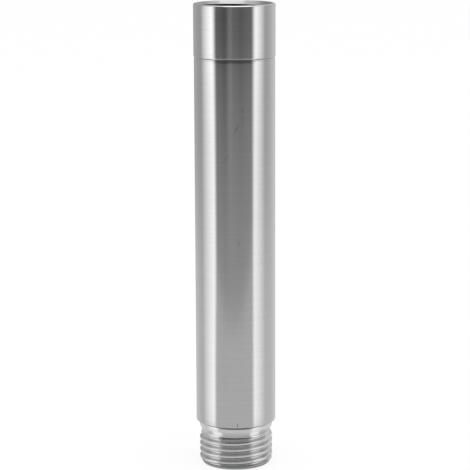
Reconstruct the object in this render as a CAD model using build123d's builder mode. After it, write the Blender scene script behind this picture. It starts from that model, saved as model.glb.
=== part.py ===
from build123d import *
import os

# Shower extension tube: a thin tube with a turned screw socket soldered into its top end and a
# turned screw nipple soldered into its bottom end. A flat washer lies in the socket.
# It stands on the nipple, with the origin at the centre of the nipple's end face and +Z along the tube.
# All sizes are in millimetres. The screw threads are kept as their crest cylinders.

# Half-inch pipe thread, the same on the socket and on the nipple
THREAD_MAJOR_D = 20.955
THREAD_DEPTH = 1.162
THREAD_UNDERCUT = 0.04
CREST_TRUNCATION = 0.18

# Tube
TUBE_LENGTH = 103.4
TUBE_WALL = 1.5
TUBE_EDGE_BREAK = 0.35

# Spigots that plug into the tube
SPIGOT_LENGTH = 9.0
SPIGOT_WALL = 2.45
SPIGOT_CHAMFER = 0.6
SOLDER_GAP = 0.05

# Socket collar
COLLAR_WALL = 0.8
COLLAR_STEP = 0.11
COLLAR_RIM_CHAMFER = 0.22
COLLAR_SEAM_CHAMFER = 0.3
SOCKET_THREAD_LENGTH = 8.38
SOCKET_UNDERCUT_HEIGHT = 2.5
SOCKET_SEAT_WEB = 2.5

# Threaded nipple
NIPPLE_THREAD_LENGTH = 7.95
NIPPLE_END_CHAMFER_LENGTH = 1.25
NIPPLE_END_CHAMFER_DEPTH = 0.9
NIPPLE_BORE_CHAMFER = 0.4
RELIEF_DEPTH = 0.84
RELIEF_WIDTH = 0.6
RELIEF_SLOPE_HEIGHT = 1.46
LAND_HEIGHT = 1.5
LAND_SEAT_WIDTH = 0.53

# Sealing washer
WASHER_THICKNESS = 2.0
WASHER_HOLE_D = 12.5
WASHER_CLEARANCE = 0.07

# Radii that follow from those sizes
female_crest_r = THREAD_MAJOR_D / 2 - THREAD_DEPTH
male_crest_r = THREAD_MAJOR_D / 2 - CREST_TRUNCATION
undercut_r = THREAD_MAJOR_D / 2 + THREAD_UNDERCUT
collar_r = undercut_r + COLLAR_WALL
tube_r = collar_r - COLLAR_STEP
tube_bore_r = tube_r - TUBE_WALL
spigot_r = tube_bore_r - SOLDER_GAP
waterway_r = spigot_r - SPIGOT_WALL
relief_r = male_crest_r - RELIEF_DEPTH
land_r = tube_bore_r + LAND_SEAT_WIDTH
end_face_r = male_crest_r - NIPPLE_END_CHAMFER_DEPTH
washer_r = female_crest_r - WASHER_CLEARANCE

# Heights from the nipple's end face. The slope from the thread to its relief groove is 45 degrees.
relief_bottom_z = NIPPLE_THREAD_LENGTH + RELIEF_DEPTH
relief_top_z = relief_bottom_z + RELIEF_WIDTH
land_bottom_z = relief_top_z + RELIEF_SLOPE_HEIGHT
tube_bottom_z = land_bottom_z + LAND_HEIGHT
tube_top_z = tube_bottom_z + TUBE_LENGTH
seat_z = tube_top_z + SOCKET_SEAT_WEB
undercut_top_z = seat_z + SOCKET_UNDERCUT_HEIGHT
socket_thread_top_z = undercut_top_z + SOCKET_THREAD_LENGTH
rim_z = socket_thread_top_z + (undercut_r - female_crest_r)


def edges_at(piece, radius, height):
    """The circular edges of a piece at one radius and height."""
    rings = piece.edges().filter_by(GeomType.CIRCLE)
    return rings.filter_by(lambda ring: abs(ring.radius - radius) < 1e-4).filter_by_position(
        Axis.Z, height - 1e-4, height + 1e-4
    )


# Tube, with both outer edges broken
with BuildPart() as tube:
    with BuildSketch(Plane.XY.offset(tube_bottom_z)):
        Circle(tube_r)
        Circle(tube_bore_r, mode=Mode.SUBTRACT)
    extrude(amount=TUBE_LENGTH)
    tube_ends = edges_at(tube, tube_r, tube_bottom_z) + edges_at(tube, tube_r, tube_top_z)
    chamfer(tube_ends, length=TUBE_EDGE_BREAK)
tube.part.label = "tube"

# Socket collar: chamfered mouth, threaded wall, undercut over the washer seat, and the upper spigot
with BuildPart() as socket_collar:
    with BuildSketch(Plane.XZ):
        with BuildLine():
            Polyline(
                (undercut_r, rim_z),
                (collar_r, rim_z),
                (collar_r, tube_top_z),
                (spigot_r, tube_top_z),
                (spigot_r, tube_top_z - SPIGOT_LENGTH),
                (waterway_r, tube_top_z - SPIGOT_LENGTH),
                (waterway_r, seat_z),
                (undercut_r, seat_z),
                (undercut_r, undercut_top_z),
                (female_crest_r, undercut_top_z),
                (female_crest_r, socket_thread_top_z),
                close=True,
            )
        make_face()
    revolve(axis=Axis.Z)
    chamfer(edges_at(socket_collar, collar_r, rim_z), length=COLLAR_RIM_CHAMFER)
    chamfer(edges_at(socket_collar, collar_r, tube_top_z), length=COLLAR_SEAM_CHAMFER)
    chamfer(edges_at(socket_collar, spigot_r, tube_top_z - SPIGOT_LENGTH), length=SPIGOT_CHAMFER)
socket_collar.part.label = "socket_collar"

# Threaded nipple: end chamfer, thread, relief groove, plain land that carries the tube, lower spigot
with BuildPart() as threaded_nipple:
    with BuildSketch(Plane.XZ):
        with BuildLine():
            Polyline(
                (waterway_r, 0),
                (end_face_r, 0),
                (male_crest_r, NIPPLE_END_CHAMFER_LENGTH),
                (male_crest_r, NIPPLE_THREAD_LENGTH),
                (relief_r, relief_bottom_z),
                (relief_r, relief_top_z),
                (land_r, land_bottom_z),
                (land_r, tube_bottom_z),
                (spigot_r, tube_bottom_z),
                (spigot_r, tube_bottom_z + SPIGOT_LENGTH),
                (waterway_r, tube_bottom_z + SPIGOT_LENGTH),
                close=True,
            )
        make_face()
    revolve(axis=Axis.Z)
    chamfer(edges_at(threaded_nipple, waterway_r, 0), length=NIPPLE_BORE_CHAMFER)
    chamfer(edges_at(threaded_nipple, spigot_r, tube_bottom_z + SPIGOT_LENGTH), length=SPIGOT_CHAMFER)
threaded_nipple.part.label = "threaded_nipple"

# Flat sealing washer on the socket's seat, small enough to pass the thread
with BuildPart() as sealing_washer:
    with BuildSketch(Plane.XY.offset(seat_z)):
        Circle(washer_r)
        Circle(WASHER_HOLE_D / 2, mode=Mode.SUBTRACT)
    extrude(amount=WASHER_THICKNESS)
sealing_washer.part.label = "sealing_washer"

os.makedirs("parts", exist_ok=True)
export_step(tube.part, "parts/tube.step")
export_step(socket_collar.part, "parts/socket_collar.step")
export_step(threaded_nipple.part, "parts/threaded_nipple.step")
export_step(sealing_washer.part, "parts/sealing_washer.step")
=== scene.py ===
import math

import bpy
import bmesh
import numpy as np
from mathutils import Matrix, Vector


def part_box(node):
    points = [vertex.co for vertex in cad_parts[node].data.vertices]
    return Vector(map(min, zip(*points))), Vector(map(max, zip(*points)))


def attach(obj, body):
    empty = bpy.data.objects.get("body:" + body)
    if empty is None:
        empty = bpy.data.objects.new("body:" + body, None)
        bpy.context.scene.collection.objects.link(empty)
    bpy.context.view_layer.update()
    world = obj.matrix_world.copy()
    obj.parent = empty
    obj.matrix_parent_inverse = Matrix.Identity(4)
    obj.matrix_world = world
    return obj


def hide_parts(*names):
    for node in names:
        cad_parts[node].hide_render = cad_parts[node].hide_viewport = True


# Shower extension tube: a brushed steel tube with a screw socket on top and a bright screw nipple below.
# Lengths are in millimetres and angles in degrees, unless a name or a comment says otherwise.

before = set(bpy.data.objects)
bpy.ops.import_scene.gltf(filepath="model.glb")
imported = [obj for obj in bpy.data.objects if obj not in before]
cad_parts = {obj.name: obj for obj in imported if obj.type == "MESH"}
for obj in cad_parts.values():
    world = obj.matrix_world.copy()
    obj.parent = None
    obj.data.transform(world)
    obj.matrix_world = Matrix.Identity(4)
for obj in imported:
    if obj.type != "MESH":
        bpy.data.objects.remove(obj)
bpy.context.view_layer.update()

MM = 0.001

# Outer sizes and heights, read from the frame
tube_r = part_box("tube")[1].x / MM
tube_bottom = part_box("tube")[0].z / MM
tube_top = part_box("tube")[1].z / MM
collar_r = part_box("socket_collar")[1].x / MM
upper_spigot_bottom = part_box("socket_collar")[0].z / MM
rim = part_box("socket_collar")[1].z / MM
male_crest_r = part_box("threaded_nipple")[1].x / MM
lower_spigot_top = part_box("threaded_nipple")[1].z / MM
washer_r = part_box("sealing_washer")[1].x / MM
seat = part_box("sealing_washer")[0].z / MM
washer_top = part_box("sealing_washer")[1].z / MM

# Inner sizes, as in the solids
TUBE_WALL = 1.5
SOLDER_GAP = 0.05
SPIGOT_WALL = 2.45
SPIGOT_CHAMFER = 0.6
SOCKET_UNDERCUT_HEIGHT = 2.5
NIPPLE_THREAD_LENGTH = 7.95
NIPPLE_END_CHAMFER_LENGTH = 1.25
NIPPLE_END_CHAMFER_DEPTH = 0.9
NIPPLE_BORE_CHAMFER = 0.4
RELIEF_DEPTH = 0.84
RELIEF_WIDTH = 0.6
RELIEF_SLOPE_HEIGHT = 1.46
LAND_SEAT_WIDTH = 0.53
WASHER_HOLE_R = 6.25

# Edges and groove as the brushing and the turning left them, slightly off the plain forms of the solids.
# A droop is a slight fall of the surface towards an edge.
TUBE_TOP_BREAK = 0.1
TUBE_TOP_DROOP_DEPTH = 0.11
TUBE_TOP_DROOP_LENGTH = 1.2
TUBE_BOTTOM_BREAK = 0.32
COLLAR_RIM_CHAMFER = 0.25
COLLAR_SEAM_BREAK = 0.1
COLLAR_SEAM_DROOP_DEPTH = 0.03
COLLAR_SEAM_DROOP_LENGTH = 0.6
RELIEF_FLOOR_RISE = 0.13
RELIEF_FLOOR_BOTTOM = 9.3
RELIEF_FLOOR_TOP = 9.55
RELIEF_ROUNDING = 0.7
LAND_TAPER_DEPTH = 0.16
LAND_TAPER_HEIGHT = 0.44
WASHER_SOFT_EDGE = 0.3

# Half-inch pipe thread, right-handed. A crest at the front is the height of one crest on the camera's side.
THREAD_PITCH = 1.814
THREAD_MAJOR_R = 10.4775
THREAD_DEPTH = 1.162
THREAD_UNDERCUT = 0.04
THREAD_FLANK_ANGLE = 27.5
THREAD_ROUNDING_PER_PITCH = 0.137329
CREST_SOFTNESS = 0.035
NIPPLE_CREST_AT_FRONT = 7.62
SOCKET_CREST_AT_FRONT = 128.7

# Mesh fineness: columns round the axis, steps of a rounded corner, points beside it, rows and edge radii
COLUMNS = 256
ARC_STEPS = 4
ARC_STEP_LENGTH = 0.08
SUPPORT = 0.05
NIPPLE_THREAD_ROW = 0.035
SOCKET_THREAD_ROW = 0.0525
DROOP_ROW = 0.1
PLAIN_ROW = 4.0
SHARP_EDGE = 0.03
FINE_EDGE = 0.06
INNER_EDGE = 0.15

# Radii and heights that follow from those sizes
thread_rounding = THREAD_ROUNDING_PER_PITCH * THREAD_PITCH
tube_bore_r = tube_r - TUBE_WALL
spigot_r = tube_bore_r - SOLDER_GAP
waterway_r = spigot_r - SPIGOT_WALL
thread_minor_r = THREAD_MAJOR_R - THREAD_DEPTH
undercut_r = THREAD_MAJOR_R + THREAD_UNDERCUT
undercut_top = seat + SOCKET_UNDERCUT_HEIGHT
socket_thread_top = rim - (undercut_r - thread_minor_r)
relief_r = male_crest_r - RELIEF_DEPTH + RELIEF_FLOOR_RISE
relief_bottom = NIPPLE_THREAD_LENGTH + RELIEF_DEPTH
relief_top = relief_bottom + RELIEF_WIDTH
land_bottom = relief_top + RELIEF_SLOPE_HEIGHT
land_r = tube_bore_r + LAND_SEAT_WIDTH
end_face_r = male_crest_r - NIPPLE_END_CHAMFER_DEPTH


def round_corners(corners):
    """Points (r, z) of a closed outline whose corners (r, z, radius) become arcs with points beside them."""
    points = []
    for index, (r, z, radius) in enumerate(corners):
        here = np.array((r, z))
        if not radius:
            points.append(here)
            continue
        back = np.array(corners[index - 1][:2]) - here
        ahead = np.array(corners[(index + 1) % len(corners)][:2]) - here
        back /= np.linalg.norm(back)
        ahead /= np.linalg.norm(ahead)
        half_angle = math.acos(np.clip(back @ ahead, -1, 1)) / 2
        reach = radius / math.tan(half_angle)
        centre = here + (back + ahead) / np.linalg.norm(back + ahead) * radius / math.sin(half_angle)
        first = here + back * reach - centre
        last = here + ahead * reach - centre
        sweep = math.pi - 2 * half_angle
        points.append(here + back * (reach + SUPPORT))
        steps = max(ARC_STEPS, math.ceil(radius * sweep / ARC_STEP_LENGTH))
        for step in range(steps + 1):
            share = step / steps
            mixed = math.sin((1 - share) * sweep) * first + math.sin(share * sweep) * last
            points.append(centre + mixed / math.sin(sweep))
        points.append(here + ahead * (reach + SUPPORT))
    return points


def divide(points, row_height):
    """The closed outline with each stretch cut into pieces no longer than row_height(r, z) at its middle."""
    divided = []
    for index, here in enumerate(points):
        ahead = points[(index + 1) % len(points)]
        middle = (here + ahead) / 2
        pieces = max(1, math.ceil(np.linalg.norm(ahead - here) / row_height(*middle)))
        divided += [here + (ahead - here) * step / pieces for step in range(pieces)]
    return np.array(divided)


def ring_faces(rings, columns, closed):
    """Quads between rings of points, where a closed row of rings ends at its first ring again."""
    rows = rings if closed else rings - 1
    ring, column = np.meshgrid(np.arange(rows), np.arange(columns), indexing="ij")
    next_ring = (ring + 1) % rings
    next_column = (column + 1) % columns
    corners = (
        ring * columns + column,
        ring * columns + next_column,
        next_ring * columns + next_column,
        next_ring * columns + column,
    )
    return np.stack(corners, axis=2).reshape(-1, 4).tolist()


def add_object(name, data):
    """A new object in the scene, from a mesh, a lamp or a camera's lens."""
    item = bpy.data.objects.new(name, data)
    bpy.context.collection.objects.link(item)
    return item


def plain_row(radius, height):
    """The row height of a plain turned surface."""
    return PLAIN_ROW


def turn(name, corners, row_height=plain_row, cut=None):
    """A closed mesh turned from an outline. cut(r, z, angle) may change the radius, as a thread does."""
    outline = divide(round_corners(corners), row_height)
    angle = 2 * math.pi * np.arange(COLUMNS) / COLUMNS
    radius = np.repeat(outline[:, :1], COLUMNS, axis=1)
    height = np.repeat(outline[:, 1:], COLUMNS, axis=1)
    if cut:
        radius = cut(radius, height, angle)
    vertices = np.stack((radius * np.cos(angle), radius * np.sin(angle), height), axis=2) * MM
    mesh = bpy.data.meshes.new(name)
    mesh.from_pydata(vertices.reshape(-1, 3).tolist(), [], ring_faces(len(outline), COLUMNS, closed=True))
    form = bmesh.new()
    form.from_mesh(mesh)
    bmesh.ops.recalc_face_normals(form, faces=form.faces)
    form.to_mesh(mesh)
    form.free()
    mesh.shade_smooth()
    return add_object(name, mesh)


def thread_ridge(height, angle, crest_at_front):
    """How far the rounded thread form stands above its root at a height and an angle in radians from +X."""
    turns = (height - crest_at_front) / THREAD_PITCH - (angle + math.pi / 2) / (2 * math.pi)
    from_crest = np.abs(turns - np.round(turns)) * THREAD_PITCH
    from_root = THREAD_PITCH / 2 - from_crest
    flank_angle = math.radians(THREAD_FLANK_ANGLE)
    flank = THREAD_DEPTH / 2 + (THREAD_PITCH / 4 - from_crest) / math.tan(flank_angle)
    arc_reach = thread_rounding * math.cos(flank_angle)
    crest_rise = np.sqrt(np.maximum(thread_rounding**2 - from_crest**2, 0))
    root_rise = np.sqrt(np.maximum(thread_rounding**2 - from_root**2, 0))
    ridge = np.where(from_crest < arc_reach, THREAD_DEPTH - thread_rounding + crest_rise, flank)
    return np.where(from_root < arc_reach, thread_rounding - root_rise, ridge)


def lesser(a, b):
    """The smaller of two sizes, with the corner between them slightly rounded."""
    low = np.minimum(a, b)
    return low - CREST_SOFTNESS * np.log1p(np.exp(-np.abs(a - b) / CREST_SOFTNESS))


def droop(radius, to_edge, depth, length):
    """The radius less a slight fall towards an edge, as brushing leaves it."""
    return radius - depth * np.clip(1 - to_edge / length, 0, 1) ** 2


# Tube: plain, with both outer edges broken


def droop_tube_top(radius, height, angle):
    """The tube's radius, which falls slightly towards its top edge outside, the same at every angle."""
    drooped = droop(radius, tube_top - height, TUBE_TOP_DROOP_DEPTH, TUBE_TOP_DROOP_LENGTH)
    return np.where(radius > tube_r - TUBE_WALL / 2, drooped, radius)


def tube_row(radius, height):
    """Short rows where the tube droops."""
    drooping = height > tube_top - TUBE_TOP_DROOP_LENGTH and radius > tube_r - SUPPORT
    return DROOP_ROW if drooping else PLAIN_ROW


def make_tube():
    corners = [
        (tube_bore_r, tube_bottom, INNER_EDGE),
        (tube_r - TUBE_BOTTOM_BREAK, tube_bottom, FINE_EDGE),
        (tube_r, tube_bottom + TUBE_BOTTOM_BREAK, FINE_EDGE),
        (tube_r, tube_top - TUBE_TOP_DROOP_LENGTH, 0),
        (tube_r, tube_top - TUBE_TOP_BREAK, SHARP_EDGE),
        (tube_r - TUBE_TOP_BREAK, tube_top, SHARP_EDGE),
        (tube_bore_r, tube_top, INNER_EDGE),
    ]
    return turn("tube_brushed", corners, tube_row, droop_tube_top)


# Socket collar: chamfered mouth, female thread, undercut over the washer's seat, upper spigot


def shape_collar(radius, height, angle):
    """The collar's radius with its female thread inside and its droop towards the seam outside."""
    groove = THREAD_MAJOR_R - thread_ridge(height, angle, SOCKET_CREST_AT_FRONT)
    threaded = -lesser(-radius, -groove)
    in_thread = (height > undercut_top - SUPPORT) & (radius < undercut_r)
    outside = (radius > undercut_r) & (height > tube_top - SUPPORT)
    drooped = droop(radius, height - tube_top, COLLAR_SEAM_DROOP_DEPTH, COLLAR_SEAM_DROOP_LENGTH)
    return np.where(in_thread, threaded, np.where(outside, drooped, radius))


def collar_row(radius, height):
    """Short rows in the thread and where the collar droops."""
    if height > undercut_top and radius < undercut_r:
        return SOCKET_THREAD_ROW
    drooping = height < tube_top + COLLAR_SEAM_DROOP_LENGTH and radius > collar_r - SUPPORT
    return DROOP_ROW if drooping else PLAIN_ROW


def make_collar():
    corners = [
        (undercut_r, rim, FINE_EDGE),
        (collar_r - COLLAR_RIM_CHAMFER, rim, FINE_EDGE),
        (collar_r, rim - COLLAR_RIM_CHAMFER, FINE_EDGE),
        (collar_r, tube_top + COLLAR_SEAM_DROOP_LENGTH, 0),
        (collar_r, tube_top + COLLAR_SEAM_BREAK, SHARP_EDGE),
        (collar_r - COLLAR_SEAM_BREAK, tube_top, SHARP_EDGE),
        (spigot_r, tube_top, FINE_EDGE),
        (spigot_r, upper_spigot_bottom + SPIGOT_CHAMFER, INNER_EDGE),
        (spigot_r - SPIGOT_CHAMFER, upper_spigot_bottom, INNER_EDGE),
        (waterway_r, upper_spigot_bottom, INNER_EDGE),
        (waterway_r, seat, INNER_EDGE),
        (undercut_r, seat, INNER_EDGE),
        (undercut_r, undercut_top, FINE_EDGE),
        (thread_minor_r, undercut_top, FINE_EDGE),
        (thread_minor_r, socket_thread_top, FINE_EDGE),
    ]
    return turn("socket_collar_threaded", corners, collar_row, shape_collar)


# Threaded nipple: end chamfer, male thread, relief groove, plain land under the tube, lower spigot


def on_nipple_thread(radius, height):
    """Whether a point lies on the nipple's outside below its relief groove."""
    return (height < RELIEF_FLOOR_BOTTOM) & (radius > end_face_r - SUPPORT)


def cut_nipple_thread(radius, height, angle):
    """The nipple's radius with its male thread."""
    ridge = thread_minor_r + thread_ridge(height, angle, NIPPLE_CREST_AT_FRONT)
    return np.where(on_nipple_thread(radius, height), lesser(radius, ridge), radius)


def nipple_row(radius, height):
    """Short rows in the thread."""
    return NIPPLE_THREAD_ROW if on_nipple_thread(radius, height) else PLAIN_ROW


def make_nipple():
    corners = [
        (waterway_r, NIPPLE_BORE_CHAMFER, INNER_EDGE),
        (waterway_r + NIPPLE_BORE_CHAMFER, 0, INNER_EDGE),
        (end_face_r, 0, FINE_EDGE),
        (male_crest_r, NIPPLE_END_CHAMFER_LENGTH, FINE_EDGE),
        (male_crest_r, NIPPLE_THREAD_LENGTH, FINE_EDGE),
        (relief_r, RELIEF_FLOOR_BOTTOM, RELIEF_ROUNDING),
        (relief_r, RELIEF_FLOOR_TOP, SHARP_EDGE),
        (land_r, land_bottom, INNER_EDGE),
        (land_r, tube_bottom - LAND_TAPER_HEIGHT, INNER_EDGE),
        (land_r - LAND_TAPER_DEPTH, tube_bottom, FINE_EDGE),
        (spigot_r, tube_bottom, FINE_EDGE),
        (spigot_r, lower_spigot_top - SPIGOT_CHAMFER, INNER_EDGE),
        (spigot_r - SPIGOT_CHAMFER, lower_spigot_top, INNER_EDGE),
        (waterway_r, lower_spigot_top, INNER_EDGE),
    ]
    return turn("threaded_nipple_cut", corners, nipple_row, cut_nipple_thread)


# Sealing washer: flat rubber with soft moulded edges


def make_washer():
    corners = [
        (WASHER_HOLE_R, seat, WASHER_SOFT_EDGE),
        (washer_r, seat, WASHER_SOFT_EDGE),
        (washer_r, washer_top, WASHER_SOFT_EDGE),
        (WASHER_HOLE_R, washer_top, WASHER_SOFT_EDGE),
    ]
    return turn("sealing_washer_moulded", corners)


# Finishes

# Most values of the noise lie between these two
NOISE_LOW = 0.3
NOISE_HIGH = 0.7

# Steel: the greys and the roughness are each a range that the fine lines run over
BRUSHED = {
    "greys": (0.391, 0.413),
    "roughness": (0.09, 0.15),
    "anisotropy": 0.6,
    "lines_per_mm": 3.6,
    "line_depth": 0.00005,
}
MACHINED = {
    "greys": (0.515, 0.555),
    "roughness": (0.17, 0.22),
    "anisotropy": 0.3,
    "lines_per_mm": 6.0,
    "line_depth": 0.0002,
}
LINE_BREAKS_PER_MM = 0.06
LINE_DETAIL = 4
SHEEN_LINES_PER_LINE = 1.3
SHEEN_DETAIL = 3
QUARTER_TURN = 0.25
# Inside the collar's bore: a painted shade that darkens the grey, with a rougher surface
BORE_PAINTED_SHADE = {"grey_loss": 0.3, "roughness_gain": 0.1}

# Scratches on the tube's front: x, z, lean, length, width and depth, with depth as a share of the grey lost.
# The core is the share of a scratch that has its full depth.
TUBE_MARKS = (
    (0.55, 97.2, 27.0, 3.4, 0.8, 0.22),
    (2.1, 102.0, 3.0, 2.2, 0.7, 0.22),
    (2.1, 99.4, 0.0, 4.5, 0.8, 0.09),
    (-2.25, 89.0, 33.0, 4.2, 1.1, 0.09),
    (1.05, 65.4, 16.0, 2.6, 0.6, 0.15),
    (0.4, 13.45, 0.0, 1.5, 0.35, 0.7),
)
MARK_CORE = 0.2
MARK_CHANGE = {"grey_loss": 1.0, "roughness_gain": 0.1}

# Rubber
RUBBER_GREYS = (0.02, 0.04)
RUBBER_ROUGHNESS = (0.6, 0.8)
RUBBER_GRAINS_PER_MM = 6.0
RUBBER_GRAIN_DETAIL = 5
RUBBER_GRAIN_DEPTH = 0.03
RUBBER_GRAIN_STRENGTH = 0.5


def new_material(name):
    """A node material with its Principled shader, and its nodes and links."""
    material = bpy.data.materials.new(name)
    material.use_nodes = True
    return material, material.node_tree.nodes, material.node_tree.links


def stretched_noise(nodes, links, per_mm_around, per_mm_along, detail):
    """Noise drawn out round the part's axis, as the lines of a lathe or a brushing belt are."""
    place = nodes.new("ShaderNodeTexCoord")
    stretch = nodes.new("ShaderNodeMapping")
    stretch.inputs["Scale"].default_value = (per_mm_around / MM, per_mm_around / MM, per_mm_along / MM)
    noise = nodes.new("ShaderNodeTexNoise")
    noise.inputs["Scale"].default_value = 1.0
    noise.inputs["Detail"].default_value = detail
    links.new(place.outputs["Object"], stretch.inputs["Vector"])
    links.new(stretch.outputs["Vector"], noise.inputs["Vector"])
    return noise.outputs["Fac"]


def remap(nodes, links, value, low, high):
    """The middle of a noise value spread over low to high."""
    spread = nodes.new("ShaderNodeMapRange")
    spread.inputs["From Min"].default_value = NOISE_LOW
    spread.inputs["From Max"].default_value = NOISE_HIGH
    spread.inputs["To Min"].default_value = low
    spread.inputs["To Max"].default_value = high
    links.new(value, spread.inputs["Value"])
    return spread.outputs["Result"]


def grey_ramp(nodes, links, value, dark, light):
    """A grey between two levels, by the middle of a noise value."""
    ramp = nodes.new("ShaderNodeValToRGB")
    ramp.color_ramp.elements[0].position = NOISE_LOW
    ramp.color_ramp.elements[0].color = (dark, dark, dark, 1)
    ramp.color_ramp.elements[1].position = NOISE_HIGH
    ramp.color_ramp.elements[1].color = (light, light, light, 1)
    links.new(value, ramp.inputs["Fac"])
    return ramp.outputs["Color"]


def larger(nodes, links, one, other):
    """The larger of two values."""
    pick = nodes.new("ShaderNodeMath")
    pick.operation = "MAXIMUM"
    links.new(one, pick.inputs[0])
    links.new(other, pick.inputs[1])
    return pick.outputs["Value"]


def marks_share(nodes, links, marks):
    """How deep in a scratch a point lies: each mark is a soft, leaning ellipse on the part's front."""
    place = nodes.new("ShaderNodeTexCoord")
    total = None
    for x, z, lean, length, width, depth in marks:
        local = nodes.new("ShaderNodeMapping")
        local.vector_type = "TEXTURE"
        local.inputs["Location"].default_value = (x * MM, -tube_r * MM, z * MM)
        local.inputs["Rotation"].default_value = (0, math.radians(lean), 0)
        local.inputs["Scale"].default_value = (width / 2 * MM, tube_r / 2 * MM, length / 2 * MM)
        away = nodes.new("ShaderNodeVectorMath")
        away.operation = "LENGTH"
        share = nodes.new("ShaderNodeMapRange")
        share.inputs["From Min"].default_value = MARK_CORE
        share.inputs["From Max"].default_value = 1.0
        share.inputs["To Min"].default_value = depth
        share.inputs["To Max"].default_value = 0.0
        links.new(place.outputs["Object"], local.inputs["Vector"])
        links.new(local.outputs["Vector"], away.inputs[0])
        links.new(away.outputs["Value"], share.inputs["Value"])
        total = larger(nodes, links, total, share.outputs["Result"]) if total else share.outputs["Result"]
    return total


def bore_shade_share(nodes, links, radius):
    """1 nearer to the axis than a radius, and 0 outside it: where the painted shade in the collar's bore
    lies.
    """
    place = nodes.new("ShaderNodeTexCoord")
    flat = nodes.new("ShaderNodeVectorMath")
    flat.operation = "MULTIPLY"
    flat.inputs[1].default_value = (1, 1, 0)
    away = nodes.new("ShaderNodeVectorMath")
    away.operation = "LENGTH"
    share = nodes.new("ShaderNodeMapRange")
    share.inputs["From Min"].default_value = radius * MM
    share.inputs["From Max"].default_value = (radius - FINE_EDGE) * MM
    links.new(place.outputs["Object"], flat.inputs[0])
    links.new(flat.outputs["Vector"], away.inputs[0])
    links.new(away.outputs["Value"], share.inputs["Value"])
    return share.outputs["Result"]


def changed_where(nodes, links, share, colour, roughness, grey_loss, roughness_gain):
    """Colour and roughness, darker and rougher by a share: for real scratches, and for the painted shade in
    the bore.
    """
    kept = nodes.new("ShaderNodeMapRange")
    kept.inputs["To Min"].default_value = 1.0
    kept.inputs["To Max"].default_value = 1.0 - grey_loss
    darker = nodes.new("ShaderNodeVectorMath")
    darker.operation = "SCALE"
    rougher = nodes.new("ShaderNodeMath")
    rougher.operation = "MULTIPLY_ADD"
    rougher.inputs[1].default_value = roughness_gain
    links.new(share, kept.inputs["Value"])
    links.new(colour, darker.inputs[0])
    links.new(kept.outputs["Result"], darker.inputs["Scale"])
    links.new(share, rougher.inputs[0])
    links.new(roughness, rougher.inputs[2])
    return darker.outputs["Vector"], rougher.outputs["Value"]


def add_bump(nodes, links, height, depth, strength):
    """Fine relief on a material's surface, by a noise value."""
    bump = nodes.new("ShaderNodeBump")
    bump.inputs["Strength"].default_value = strength
    bump.inputs["Distance"].default_value = depth * MM
    links.new(height, bump.inputs["Height"])
    links.new(bump.outputs["Normal"], nodes["Principled BSDF"].inputs["Normal"])


def turned_steel(name, greys, roughness, anisotropy, lines_per_mm, line_depth, marks=(), shaded_bore_r=0):
    """Steel with fine lines round its axis, which blur reflections along the axis more than round it. Nearer
    to the axis than a given radius, a painted shade darkens its grey and its roughness rises.
    """
    material, nodes, links = new_material(name)
    shader = nodes["Principled BSDF"]
    shader.inputs["Metallic"].default_value = 1.0
    shader.inputs["Anisotropic"].default_value = anisotropy
    shader.inputs["Anisotropic Rotation"].default_value = QUARTER_TURN
    tangent = nodes.new("ShaderNodeTangent")
    tangent.direction_type = "RADIAL"
    tangent.axis = "Z"
    links.new(tangent.outputs["Tangent"], shader.inputs["Tangent"])
    lines = stretched_noise(nodes, links, LINE_BREAKS_PER_MM, lines_per_mm, LINE_DETAIL)
    sheen_lines_per_mm = SHEEN_LINES_PER_LINE * lines_per_mm
    sheen = stretched_noise(nodes, links, LINE_BREAKS_PER_MM, sheen_lines_per_mm, SHEEN_DETAIL)
    colour = grey_ramp(nodes, links, lines, *greys)
    rough = remap(nodes, links, sheen, *roughness)
    if marks:
        marked = marks_share(nodes, links, marks)
        colour, rough = changed_where(nodes, links, marked, colour, rough, **MARK_CHANGE)
    # Painted shade inside the bore: a darker grey, and more roughness
    if shaded_bore_r:
        inside = bore_shade_share(nodes, links, shaded_bore_r)
        colour, rough = changed_where(nodes, links, inside, colour, rough, **BORE_PAINTED_SHADE)
    links.new(colour, shader.inputs["Base Color"])
    links.new(rough, shader.inputs["Roughness"])
    add_bump(nodes, links, lines, line_depth, 1.0)
    return material


def moulded_rubber(name):
    """Matt black rubber with a fine moulded grain."""
    material, nodes, links = new_material(name)
    shader = nodes["Principled BSDF"]
    grain = stretched_noise(nodes, links, RUBBER_GRAINS_PER_MM, RUBBER_GRAINS_PER_MM, RUBBER_GRAIN_DETAIL)
    links.new(grey_ramp(nodes, links, grain, *RUBBER_GREYS), shader.inputs["Base Color"])
    links.new(remap(nodes, links, grain, *RUBBER_ROUGHNESS), shader.inputs["Roughness"])
    add_bump(nodes, links, grain, RUBBER_GRAIN_DEPTH, RUBBER_GRAIN_STRENGTH)
    return material


def dress(piece, material, node):
    """The piece stands for a CAD node, rides on the one body and puts its finish in the CAD node's material
    slot.
    """
    piece.data.materials.append(material)
    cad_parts[node].data.materials.clear()
    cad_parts[node].data.materials.append(material)
    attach(piece, "root")
    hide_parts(node)


brushed_tube = turned_steel("brushed_tube", **BRUSHED, marks=TUBE_MARKS)
# The collar's bore gets a painted shade inside the undercut's radius.
brushed_collar = turned_steel("brushed_collar", **BRUSHED, shaded_bore_r=undercut_r)
machined = turned_steel("machined_steel", **MACHINED)
rubber = moulded_rubber("black_rubber")
dress(make_tube(), brushed_tube, "tube")
dress(make_collar(), brushed_collar, "socket_collar")
dress(make_nipple(), machined, "threaded_nipple")
dress(make_washer(), rubber, "sealing_washer")


# Studio: a white floor and world, soft lights, and two screens that only reflections show.
# A glow is a brightness, and white is 1. A reach is a distance from the part's axis.
# An azimuth is 0 on the camera's side and positive to the right of it.

# Floor and world
FLOOR_HALF = 3000.0
FLOOR_GREY = 0.95
FLOOR_GLOW_SHARE = 0.85
WORLD_LIGHT = 1.0

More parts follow.
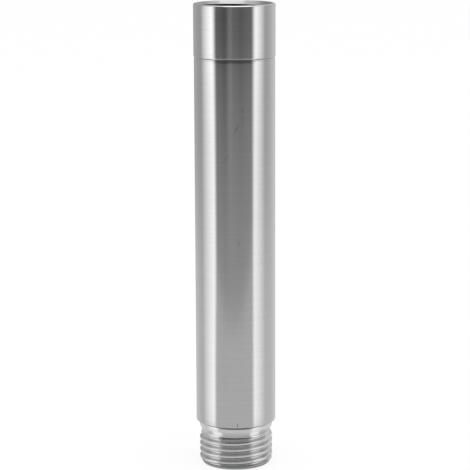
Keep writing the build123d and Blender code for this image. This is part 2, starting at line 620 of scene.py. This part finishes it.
# Form of the reflection screen: its floor from near to its radius, heights up its wall, reaches in overhead
SCREEN_NEAR = 9.55
SCREEN_RADIUS = 1100.0
SCREEN_LIFT = 0.15
SCREEN_FLOOR_RINGS = 90
SCREEN_WALL = (10.0, 20.0, 35.0, 50.0, 75.0, 100.0, 200.0, 350.0, 600.0, 900.0)
SCREEN_DOME = (900.0, 700.0, 500.0, 350.0, 200.0)
SEEN_AZIMUTH_ROUNDS = 3

# The camera's side of the screen
FRONT_NEAR_GLOW = 0.265
FRONT_NEAR_AHEAD = 193.0
FRONT_NEAR_POWER = 20
FRONT_NEAR_SLANT = 0.11
FRONT_LEAST_AHEAD = 0.3
FRONT_EVEN_REACH = 150.0
FRONT_FAR_GLOW = 0.81
FRONT_FADE = 860.0
FRONT_WALL_GLOW = 0.115
FRONT_WALL_FADE = 5.0
FRONT_SKIRT_GLOW = 0.114
FRONT_SKIRT_FADE = 150.0
FRONT_SKIRT_POWER = 4
FRONT_DOME_GLOW = 0.5

# Upright streaks on the camera's side: azimuth, half width, gain, and the power by which they grow far off
STREAKS = (
    (-43.0, 13.0, -0.3, 1.5),
    (-28.5, 8.5, -0.85, 1.5),
    (-12.5, 6.5, 1.2, 2.6),
    (17.0, 9.0, -0.45, 2.0),
    (41.0, 6.0, 0.2, 1.5),
)
STREAK_FLOOR_SHARE = 0.4
STREAK_RISE = 50.0

# The other sides of the screen. A pair is where a change begins and where it is complete.
AROUND_NEAR_GLOW = 0.98
AROUND_NEAR_REACH = 400.0
AROUND_NEAR_POWER = 4
AROUND_FAR_GLOW = 0.7
AROUND_RIGHT_EXTRA = 0.09
AROUND_RIGHT_FAR_EXTRA = 0.22
AROUND_RIGHT_RISE = (100.0, 135.0)
AROUND_OVERHEAD_EXTRA = 0.8
AROUND_OVERHEAD_REACH = (500.0, 1000.0)
AROUND_OVERHEAD_POWER = 4
BEHIND = (145.0, 170.0)
BEHIND_LOSS = 0.35

# Light panels at both sides. A strip is its inner and its outer azimuth.
STRIP_GLOW = 2.25
STRIP_WALL_EXTRA = 0.5
STRIP_WALL_POWER = 4
STRIP_WALL_FADE = 430.0
STRIP_WALL_FADE_POWER = 2
STRIP_FOOT_GLOW = 1.3
STRIP_FOOT = (46.0, 58.0)
STRIP_EDGE = 12.0
STRIP_EDGE_FAR_EXTRA = 5.0
LEFT_STRIP = (-57.5, -109.0)
LEFT_STRIP_NEAR_TURN = -4.5
LEFT_STRIP_NEAR_POWER = 5
LEFT_STRIP_FAR_TURN = -2.6
LEFT_STRIP_FAR_POWER = 3
LEFT_STRIP_FALL = 1.35
RIGHT_STRIP = (52.5, 95.0)
RIGHT_STRIP_FAR_TURN = 3.0
RIGHT_STRIP_FALL = 1.2
RIGHT_STRIP_SHARE = 0.9

# Floor of the screen close round the nipple, with pairs as above
UNDER_GLOW = 0.8
UNDER_REACH = (15.0, 24.0)
UNDER_STRIP_EXTRA = 0.75
UNDER_STRIP_RISE = (38.0, 46.0)
UNDER_STRIP_FALL = (68.0, 82.0)
CONTACT_GLOW = 0.42
CONTACT_REACH = (10.5, 14.0)
FOOT_SHADE = 0.15
FOOT_SHADE_AZIMUTH = (55.0, 85.0)
FOOT_SHADE_REACH = (18.0, 30.0)

# Oval ceiling screen, with its radii to the side and ahead, and the share of them that its small hole takes
CEILING_HEIGHT = 890.0
CEILING_RADII = (300.0, 200.0)
CEILING_RIGHT = 70.0
CEILING_GLOW = 2.9
CEILING_HOLE_SHARE = 0.05
CEILING_RINGS = 6
CEILING_COLUMNS = 48

# Overhead lamp
LAMP_SIZE = 800.0
LAMP_WATTS = 1.5
LAMP_PLACE = (150.0, -200.0, 900.0)
LAMP_AIM = (0.0, 0.0, 50.0)


def white_for_seen_rays(nodes, links):
    """1 where a ray comes from the camera, a reflection or a transmission, and 0 elsewhere."""
    path = nodes.new("ShaderNodeLightPath")
    seen = path.outputs["Is Camera Ray"]
    for output in ("Is Glossy Ray", "Is Transmission Ray"):
        seen = larger(nodes, links, seen, path.outputs[output])
    return seen


def make_world():
    world = bpy.data.worlds.new("studio")
    bpy.context.scene.world = world
    world.use_nodes = True
    world.cycles.sampling_method = "NONE"
    nodes, links = world.node_tree.nodes, world.node_tree.links
    plain = nodes["Background"]
    plain.inputs["Color"].default_value = (1, 1, 1, 1)
    plain.inputs["Strength"].default_value = WORLD_LIGHT
    white = nodes.new("ShaderNodeBackground")
    white.inputs["Color"].default_value = (1, 1, 1, 1)
    white.inputs["Strength"].default_value = 1.0
    mix = nodes.new("ShaderNodeMixShader")
    links.new(white_for_seen_rays(nodes, links), mix.inputs["Fac"])
    links.new(plain.outputs["Background"], mix.inputs[1])
    links.new(white.outputs["Background"], mix.inputs[2])
    links.new(mix.outputs["Shader"], nodes["World Output"].inputs["Surface"])


def make_floor():
    """A matt floor with the part's shadow, which glows part of the way to white for rays that are seen."""
    half = FLOOR_HALF * MM
    corners = [(-half, -half, 0), (half, -half, 0), (half, half, 0), (-half, half, 0)]
    mesh = bpy.data.meshes.new("floor")
    mesh.from_pydata(corners, [], [(0, 1, 2, 3)])
    floor = add_object("floor", mesh)
    material, nodes, links = new_material("pale_floor")
    nodes.remove(nodes["Principled BSDF"])
    matt = nodes.new("ShaderNodeBsdfDiffuse")
    matt.inputs["Color"].default_value = (FLOOR_GREY, FLOOR_GREY, FLOOR_GREY, 1)
    glow = nodes.new("ShaderNodeEmission")
    glow.inputs["Strength"].default_value = 1.0
    share = nodes.new("ShaderNodeMath")
    share.operation = "MULTIPLY"
    share.inputs[1].default_value = FLOOR_GLOW_SHARE
    links.new(white_for_seen_rays(nodes, links), share.inputs[0])
    mix = nodes.new("ShaderNodeMixShader")
    links.new(share.outputs["Value"], mix.inputs["Fac"])
    links.new(matt.outputs["BSDF"], mix.inputs[1])
    links.new(glow.outputs["Emission"], mix.inputs[2])
    links.new(mix.outputs["Shader"], nodes["Material Output"].inputs["Surface"])
    mesh.materials.append(material)


def glowing_screen(name, points, rings, glow):
    """A stage mesh of rings of points that glows by its vertices and shows only in reflections."""
    mesh = bpy.data.meshes.new(name)
    faces = ring_faces(rings, len(points) // rings, closed=False)
    mesh.from_pydata((np.array(points) * MM).tolist(), [], faces)
    attribute = mesh.attributes.new("glow", "FLOAT", "POINT")
    attribute.data.foreach_set("value", np.array(glow, np.float32))
    screen = add_object(name, mesh)
    screen.visible_camera = False
    screen.visible_shadow = False
    screen.visible_diffuse = False
    material, nodes, links = new_material(name + "_light")
    nodes.remove(nodes["Principled BSDF"])
    light = nodes.new("ShaderNodeEmission")
    strength = nodes.new("ShaderNodeAttribute")
    strength.attribute_name = "glow"
    links.new(strength.outputs["Fac"], light.inputs["Strength"])
    links.new(light.outputs["Emission"], nodes["Material Output"].inputs["Surface"])
    mesh.materials.append(material)


def smooth_step(value, start, stop):
    """0 up to a start, 1 from a stop on, and a soft rise between them."""
    share = min(1.0, max(0.0, (value - start) / (stop - start)))
    return share * share * (3 - 2 * share)


def fading(value, middle, power=1):
    """1 at zero, a half at a middle value and towards 0 beyond. A greater power makes a steeper fall."""
    return 1 / (1 + (value / middle) ** power)


def strip_light(azimuth, inner, outer, edge, fall):
    """A soft light panel: a quick rise at its inner azimuth and a slow fall towards its outer one."""
    side = math.copysign(1.0, outer - inner)
    turned = (azimuth - inner) * side
    rise = smooth_step(turned, -edge / 2, edge / 2)
    share = min(1.0, max(0.0, turned / abs(outer - inner)))
    return rise * (1 - share**fall)


def front_glow(azimuth, reach, height):
    """The camera's side: bright by the part, darker far off and up the wall, with upright streaks far off."""
    far = reach / SCREEN_RADIUS
    turned = math.radians(azimuth)
    ahead = reach * max(FRONT_LEAST_AHEAD, math.cos(turned) - FRONT_NEAR_SLANT * math.sin(turned))
    far_floor = FRONT_FAR_GLOW * fading(max(reach, FRONT_EVEN_REACH), FRONT_FADE)
    glow = FRONT_NEAR_GLOW * fading(ahead, FRONT_NEAR_AHEAD, FRONT_NEAR_POWER) + far_floor
    on_wall = smooth_step(height, 0, STREAK_RISE)
    for centre, width, gain, power in STREAKS:
        share = far**power * (STREAK_FLOOR_SHARE + (1 - STREAK_FLOOR_SHARE) * on_wall)
        glow *= 1 + gain * share * math.exp(-(((azimuth - centre) / width) ** 2))
    skirt = FRONT_SKIRT_GLOW * glow / far_floor
    wall = FRONT_WALL_GLOW + skirt * fading(height, FRONT_SKIRT_FADE, FRONT_SKIRT_POWER)
    glow = wall + (glow - FRONT_WALL_GLOW - skirt) * fading(height, FRONT_WALL_FADE)
    return glow + FRONT_DOME_GLOW * (height / SCREEN_WALL[-1]) ** 2 * (1 - far)


def around_glow(azimuth, reach, height):
    """The other sides: brighter by the part, on the far right and overhead, and darker right behind."""
    near = fading(reach, AROUND_NEAR_REACH, AROUND_NEAR_POWER)
    glow = AROUND_FAR_GLOW + (AROUND_NEAR_GLOW - AROUND_FAR_GLOW) * near
    if azimuth > 0:
        far_right = smooth_step(azimuth, *AROUND_RIGHT_RISE) * (1 - near)
        glow += AROUND_RIGHT_EXTRA + AROUND_RIGHT_FAR_EXTRA * far_right
    overhead = (height / SCREEN_WALL[-1]) ** AROUND_OVERHEAD_POWER
    overhead *= 1 - smooth_step(reach, *AROUND_OVERHEAD_REACH)
    glow += AROUND_OVERHEAD_EXTRA * overhead
    return glow * (1 - BEHIND_LOSS * smooth_step(abs(azimuth), *BEHIND))


def strip_glow(reach, height):
    """The light panels at both sides: brightest low on the far wall, and dimmest just beside the part."""
    glow = STRIP_GLOW + STRIP_WALL_EXTRA * (reach / SCREEN_RADIUS) ** STRIP_WALL_POWER
    glow = STRIP_FOOT_GLOW + (glow - STRIP_FOOT_GLOW) * smooth_step(reach, *STRIP_FOOT)
    return glow * fading(height, STRIP_WALL_FADE, STRIP_WALL_FADE_POWER)


def open_glow(azimuth, reach, height):
    """Brightness of the surroundings away from the nipple: front, sides and back, and the light panels."""
    far = reach / SCREEN_RADIUS
    near = fading(reach, FRONT_NEAR_AHEAD, LEFT_STRIP_NEAR_POWER)
    left_inner = LEFT_STRIP[0] + LEFT_STRIP_NEAR_TURN * near + LEFT_STRIP_FAR_TURN * far**LEFT_STRIP_FAR_POWER
    right_inner = RIGHT_STRIP[0] + RIGHT_STRIP_FAR_TURN * far**2
    edge = STRIP_EDGE + STRIP_EDGE_FAR_EXTRA * far**2
    front_share = smooth_step(azimuth, left_inner - edge / 2, left_inner + edge / 2)
    front_share *= 1 - smooth_step(azimuth, right_inner - edge / 2, right_inner + edge / 2)
    strips = strip_light(azimuth, left_inner, LEFT_STRIP[1], edge, LEFT_STRIP_FALL)
    strips += RIGHT_STRIP_SHARE * strip_light(azimuth, right_inner, RIGHT_STRIP[1], edge, RIGHT_STRIP_FALL)
    around = around_glow(azimuth, reach, height)
    glow = around + (front_glow(azimuth, reach, height) - around) * front_share
    return glow + max(0.0, strip_glow(reach, height) - around) * strips


def under_glow(azimuth, reach):
    """The floor close round the nipple, in its shade, with the light of the panels at both sides."""
    side = abs(azimuth)
    lit = smooth_step(side, *UNDER_STRIP_RISE) * (1 - smooth_step(side, *UNDER_STRIP_FALL))
    glow = UNDER_GLOW + UNDER_STRIP_EXTRA * lit
    return CONTACT_GLOW + (glow - CONTACT_GLOW) * smooth_step(reach, *CONTACT_REACH)


def seen_azimuth(x, y):
    """The azimuth at which the tube's wall mirrors a far point that lies in line with this near one."""
    azimuth = math.atan2(x, -y)
    for _ in range(SEEN_AZIMUTH_ROUNDS):
        azimuth = math.atan2(x - tube_r * math.sin(azimuth / 2), -(y + tube_r * math.cos(azimuth / 2)))
    return math.degrees(azimuth)


def screen_glow(x, y, height, degree, reach):
    """Brightness of the reflection screen at a point, with a slight shade right of the nipple's foot."""
    under = under_glow(degree, reach)
    above = open_glow(seen_azimuth(x, y), reach, height)
    glow = under + (above - under) * smooth_step(reach, *UNDER_REACH)
    shaded = smooth_step(degree, *FOOT_SHADE_AZIMUTH) * (1 - smooth_step(reach, *FOOT_SHADE_REACH))
    return glow * (1 - FOOT_SHADE * shaded)


def make_screen():
    """Surroundings for reflections: along the floor from the nipple's foot, up a round wall, in overhead."""
    path = [(reach, 0.0) for reach in np.geomspace(SCREEN_NEAR, SCREEN_RADIUS, SCREEN_FLOOR_RINGS)]
    path += [(SCREEN_RADIUS, height) for height in SCREEN_WALL]
    path += [(reach, SCREEN_WALL[-1]) for reach in SCREEN_DOME]
    points = []
    glow = []
    for reach, height in path:
        for degree in range(-180, 180):
            x = reach * math.sin(math.radians(degree))
            y = -reach * math.cos(math.radians(degree))
            points.append((x, y, SCREEN_LIFT + height))
            glow.append(screen_glow(x, y, height, degree, reach))
    glowing_screen("reflection_screen", points, len(path), glow)


def make_ceiling_light():
    """An oval light overhead, for the rim and the edges that face up."""
    wide, deep = CEILING_RADII
    points = []
    for ring in np.linspace(CEILING_HOLE_SHARE, 1.0, CEILING_RINGS):
        for angle in np.linspace(0, 2 * math.pi, CEILING_COLUMNS, endpoint=False):
            x = CEILING_RIGHT + ring * wide * math.cos(angle)
            y = ring * deep * math.sin(angle)
            points.append((x, y, CEILING_HEIGHT))
    glowing_screen("ceiling_screen", points, CEILING_RINGS, [CEILING_GLOW] * len(points))


def make_key_light():
    """A soft lamp overhead that casts the part's shadow and isn't mirrored."""
    lamp = bpy.data.lights.new("overhead_lamp", "AREA")
    lamp.shape = "DISK"
    lamp.size = LAMP_SIZE * MM
    lamp.energy = LAMP_WATTS
    holder = add_object("overhead_lamp", lamp)
    holder.location = Vector(LAMP_PLACE) * MM
    line_of_sight = Vector(LAMP_AIM) * MM - holder.location
    holder.rotation_euler = line_of_sight.to_track_quat("-Z", "Y").to_euler()
    holder.visible_glossy = False


make_world()
make_floor()
make_screen()
make_ceiling_light()
make_key_light()

# Camera, fitted to the photograph's frame of 470 by 470 pixels

FRAME_PIXELS = 470
FOCAL_PIXELS = 1964.0
SENSOR_WIDTH = 36.0
CAMERA_DISTANCE = 540.2
CAMERA_HEIGHT = 170.2
CAMERA_PITCH = 10.959
CAMERA_YAW = 0.007
CAMERA_ROLL = -0.24
CAMERA_CLIP_NEAR = 10.0
CAMERA_CLIP_FAR = 20000.0


def make_camera():
    lens = bpy.data.cameras.new("camera")
    lens.sensor_width = SENSOR_WIDTH
    lens.lens = FOCAL_PIXELS * SENSOR_WIDTH / FRAME_PIXELS
    lens.clip_start = CAMERA_CLIP_NEAR * MM
    lens.clip_end = CAMERA_CLIP_FAR * MM
    camera = add_object("camera", lens)
    aim = Matrix.Rotation(math.radians(CAMERA_YAW), 4, "Z")
    aim @= Matrix.Rotation(math.radians(90 - CAMERA_PITCH), 4, "X")
    aim @= Matrix.Rotation(math.radians(CAMERA_ROLL), 4, "Z")
    camera.matrix_world = Matrix.Translation((0, -CAMERA_DISTANCE * MM, CAMERA_HEIGHT * MM)) @ aim
    bpy.context.scene.camera = camera


make_camera()
bpy.context.scene.view_settings.view_transform = "Standard"

bpy.context.view_layer.update()
